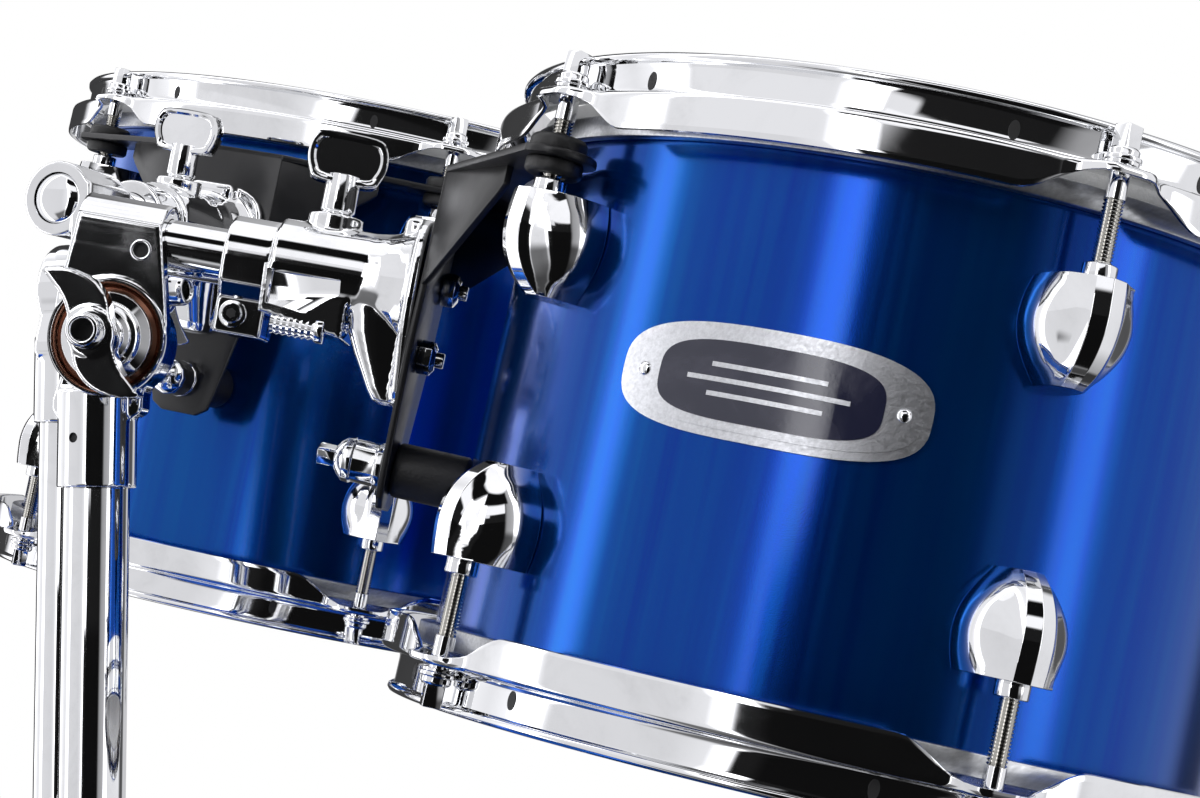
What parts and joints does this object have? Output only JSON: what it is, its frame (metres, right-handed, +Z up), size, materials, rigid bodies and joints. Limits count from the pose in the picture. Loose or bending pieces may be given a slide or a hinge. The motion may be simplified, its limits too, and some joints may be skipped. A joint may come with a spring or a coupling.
{
  "type": "drum kit",
  "caption": "Bass drum carrying rack toms on posts with tilting arms, suspension plates, chrome hoops and lugs; blue lacquered shells.",
  "frame": {"origin": "centre of the bounding box on the floor", "axes": "+Z up, -Y towards the audience (bass drum's front head), +Y towards the player"},
  "size_m": [0.865, 0.6421, 0.9317],
  "materials": {
    "blue_lacquer": "deep metallic blue gloss lacquer",
    "chrome": "mirror chrome plate",
    "black_steel": "satin black",
    "rubber": "matt black",
    "coated_film": "white coated film",
    "clear_film": "clear film",
    "black_film": "glossy black film"
  },
  "bodies": {
    "bass_drum": {"bass_shell": "blue_lacquer", "bass_batter_head": "coated_film", "bass_batter_hoop": "blue_lacquer", "bass_front_head": "black_film", "bass_front_hoop": "blue_lacquer", "receiver_base": "chrome", "spur_bracket_right": "chrome", "spur_bracket_left": "chrome"},
    "receiver_bolt_right": {"receiver_wing_bolt_right": "chrome"},
    "spur_right": {"spur_leg_right": "chrome"},
    "spur_point_right": {"spur_foot_right": "chrome"},
    "receiver_bolt_left": {"receiver_wing_bolt_left": "chrome"},
    "spur_left": {"spur_leg_left": "chrome"},
    "spur_point_left": {"spur_foot_left": "chrome"},
    "near_post": {"near_post": "chrome"},
    "near_swivel": {"near_tilter_lower": "chrome"},
    "near_tilter": {"near_tilter_upper": "chrome", "near_arm": "chrome"},
    "near_tilter_nut": {"near_tilter_wing_nut": "chrome"},
    "near_lock": {"near_memory_lock": "chrome"},
    "near_tom": {"near_tom_bracket": "chrome", "near_suspension_plate": "black_steel", "near_grommet_left": "rubber", "near_grommet_right": "rubber", "near_bumper": "rubber", "near_bumper_bolt": "chrome", "near_tom_shell": "blue_lacquer", "near_upper_lug_1": "chrome", "near_upper_lug_2": "chrome", "near_upper_lug_3": "chrome", "near_upper_lug_4": "chrome", "near_upper_lug_5": "chrome", "near_lower_lug_1": "chrome", "near_lower_lug_2": "chrome", "near_lower_lug_3": "chrome", "near_lower_lug_4": "chrome", "near_lower_lug_5": "chrome", "near_tom_batter_head": "coated_film", "near_tom_top_hoop": "chrome", "near_tom_resonant_head": "clear_film", "near_tom_bottom_hoop": "chrome"},
    "near_bracket_bolt": {"near_bracket_wing_bolt": "chrome"},
    "far_post": {"far_post": "chrome"},
    "far_swivel": {"far_tilter_lower": "chrome"},
    "far_tilter": {"far_tilter_upper": "chrome", "far_arm": "chrome"},
    "far_tilter_nut": {"far_tilter_wing_nut": "chrome"},
    "far_lock": {"far_memory_lock": "chrome"},
    "far_tom": {"far_tom_bracket": "chrome", "far_suspension_plate": "black_steel", "far_grommet_left": "rubber", "far_grommet_right": "rubber", "far_bumper": "rubber", "far_bumper_bolt": "chrome", "far_tom_shell": "blue_lacquer", "far_tom_batter_head": "coated_film", "far_tom_top_hoop": "chrome", "far_tom_resonant_head": "clear_film", "far_tom_bottom_hoop": "chrome"},
    "far_bracket_bolt": {"far_bracket_wing_bolt": "chrome"}
  },
  "joints": [
    {"name": "receiver_bolt_turn_right", "type": "hinge", "parent": "bass_drum", "child": "receiver_bolt_right", "pos_m": [0.0784, -0.0776, 0.59938], "axis": [0, -1, 0], "range_deg": [-90, 90]},
    {"name": "spur_swing_right", "type": "hinge", "parent": "bass_drum", "child": "spur_right", "pos_m": [0.29868, -0.1376, 0.215], "axis": [0.9135, 0, 0.4067], "range_deg": [-8, 60]},
    {"name": "spur_extend_right", "type": "slide", "parent": "spur_right", "child": "spur_point_right", "axis": [0.3522, -0.5, -0.7912], "range_m": [-0.008, 0.06]},
    {"name": "receiver_bolt_turn_left", "type": "hinge", "parent": "bass_drum", "child": "receiver_bolt_left", "pos_m": [-0.0196, -0.0776, 0.59938], "axis": [0, -1, 0], "range_deg": [-90, 90]},
    {"name": "spur_swing_left", "type": "hinge", "parent": "bass_drum", "child": "spur_left", "pos_m": [-0.23988, -0.1376, 0.215], "axis": [0.9135, 0, -0.4067], "range_deg": [-8, 60]},
    {"name": "spur_extend_left", "type": "slide", "parent": "spur_left", "child": "spur_point_left", "axis": [-0.3522, -0.5, -0.7912], "range_m": [-0.008, 0.06]},
    {"name": "near_post_height", "type": "slide", "parent": "bass_drum", "child": "near_post", "axis": [0, 0, 1], "range_m": [-0.025, 0.06]},
    {"name": "near_swivel", "type": "hinge", "parent": "near_post", "child": "near_swivel", "pos_m": [0.0784, -0.0776, 0.78], "axis": [0, 0, 1], "range_deg": [-25, 10]},
    {"name": "near_tilt", "type": "hinge", "parent": "near_swivel", "child": "near_tilter", "pos_m": [0.08073, -0.07153, 0.78], "axis": [-0.9336, 0.3584, 0], "range_deg": [-20, 5]},
    {"name": "near_tilter_nut_turn", "type": "hinge", "parent": "near_tilter", "child": "near_tilter_nut", "pos_m": [0.08073, -0.07153, 0.78], "axis": [0.9336, -0.3584, 0], "range_deg": [-90, 90]},
    {"name": "near_arm_slide", "type": "slide", "parent": "near_tilter", "child": "near_lock", "axis": [0.3529, 0.9194, -0.1736], "range_m": [-0.01, 0.01]},
    {"name": "near_tom_roll", "type": "hinge", "parent": "near_lock", "child": "near_tom", "pos_m": [0.11831, 0.02638, 0.79603], "axis": [0.3529, 0.9194, -0.1736], "range_deg": [-15, 15]},
    {"name": "near_bracket_bolt_turn", "type": "hinge", "parent": "near_tom", "child": "near_bracket_bolt", "pos_m": [0.10586, -0.00607, 0.80217], "axis": [0.0231, 0.177, 0.9839], "range_deg": [-90, 90]},
    {"name": "far_post_height", "type": "slide", "parent": "bass_drum", "child": "far_post", "axis": [0, 0, 1], "range_m": [-0.06, 0.06]},
    {"name": "far_swivel", "type": "hinge", "parent": "far_post", "child": "far_swivel", "pos_m": [-0.0196, -0.0776, 0.806], "axis": [0, 0, 1], "range_deg": [-10, 25]},
    {"name": "far_tilt", "type": "hinge", "parent": "far_swivel", "child": "far_tilter", "pos_m": [-0.02472, -0.0736, 0.806], "axis": [-0.6157, -0.788, 0], "range_deg": [-20, 20]},
    {"name": "far_tilter_nut_turn", "type": "hinge", "parent": "far_tilter", "child": "far_tilter_nut", "pos_m": [-0.02472, -0.0736, 0.806], "axis": [0.6157, 0.788, 0], "range_deg": [-90, 90]},
    {"name": "far_arm_slide", "type": "slide", "parent": "far_tilter", "child": "far_lock", "axis": [-0.788, 0.6156, -0.0122], "range_m": [-0.01, 0.01]},
    {"name": "far_tom_roll", "type": "hinge", "parent": "far_lock", "child": "far_tom", "pos_m": [-0.10424, -0.01147, 0.83877], "axis": [-0.788, 0.6156, -0.0122], "range_deg": [-15, 15]},
    {"name": "far_bracket_bolt_turn", "type": "hinge", "parent": "far_tom", "child": "far_bracket_bolt", "pos_m": [-0.07642, -0.0332, 0.83921], "axis": [0.107, 0.1564, 0.9819], "range_deg": [-90, 90]}
  ]
}
